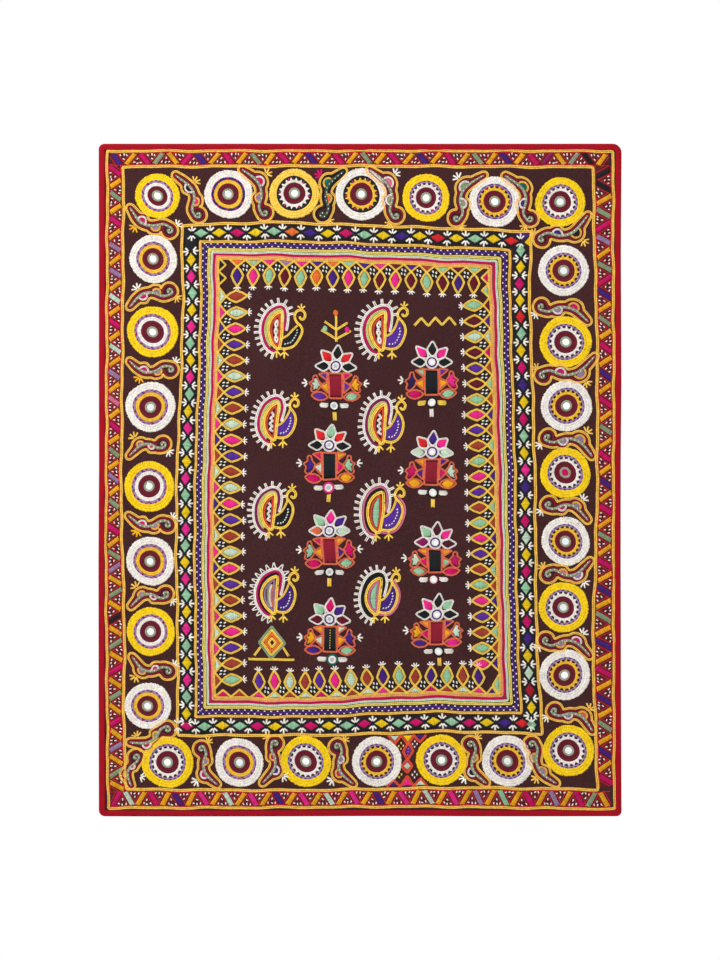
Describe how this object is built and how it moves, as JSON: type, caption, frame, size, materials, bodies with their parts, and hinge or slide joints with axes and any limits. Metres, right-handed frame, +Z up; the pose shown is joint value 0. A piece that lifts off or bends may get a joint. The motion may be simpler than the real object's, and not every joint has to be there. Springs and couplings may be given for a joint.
{
  "type": "mirror work wall hanging",
  "caption": "Flat hung cloth panel with thread roundels round its border, small round mirrors, raised stitched frames and a bound edge with rounded corners",
  "frame": {"origin": "middle of the top edge, on the mount", "axes": "+Z up along the height, +Y from the embroidered front to the wall, +X to the viewer's right"},
  "size_m": [0.9164, 0.0099, 1.178],
  "materials": {
    "ground_cotton": "matt dark brown plain-weave cotton, embroidered",
    "binding_cotton": "soft crimson cotton binding",
    "mirror_glass": "silvered thin glass"
  },
  "bodies": {
    "root": {"ground_cloth": "ground_cotton", "edge_binding": "binding_cotton", "mirror_01": "mirror_glass", "mirror_02": "mirror_glass", "mirror_03": "mirror_glass", "mirror_04": "mirror_glass", "mirror_05": "mirror_glass", "mirror_06": "mirror_glass", "mirror_07": "mirror_glass", "mirror_08": "mirror_glass", "mirror_09": "mirror_glass", "mirror_10": "mirror_glass", "mirror_11": "mirror_glass", "mirror_12": "mirror_glass", "mirror_13": "mirror_glass", "mirror_14": "mirror_glass", "mirror_15": "mirror_glass", "mirror_16": "mirror_glass", "mirror_17": "mirror_glass", "mirror_18": "mirror_glass", "mirror_19": "mirror_glass", "mirror_20": "mirror_glass", "mirror_21": "mirror_glass", "mirror_22": "mirror_glass", "mirror_23": "mirror_glass", "mirror_24": "mirror_glass", "mirror_25": "mirror_glass", "mirror_26": "mirror_glass", "mirror_27": "mirror_glass", "petal_mirror_01": "mirror_glass", "low_mirror_01": "mirror_glass", "petal_mirror_02": "mirror_glass", "low_mirror_02": "mirror_glass", "petal_mirror_03": "mirror_glass", "low_mirror_03": "mirror_glass", "petal_mirror_04": "mirror_glass", "low_mirror_04": "mirror_glass", "petal_mirror_05": "mirror_glass", "low_mirror_05": "mirror_glass", "petal_mirror_06": "mirror_glass", "low_mirror_06": "mirror_glass", "petal_mirror_07": "mirror_glass", "low_mirror_07": "mirror_glass", "petal_mirror_08": "mirror_glass", "low_mirror_08": "mirror_glass"}
  },
  "joints": []
}
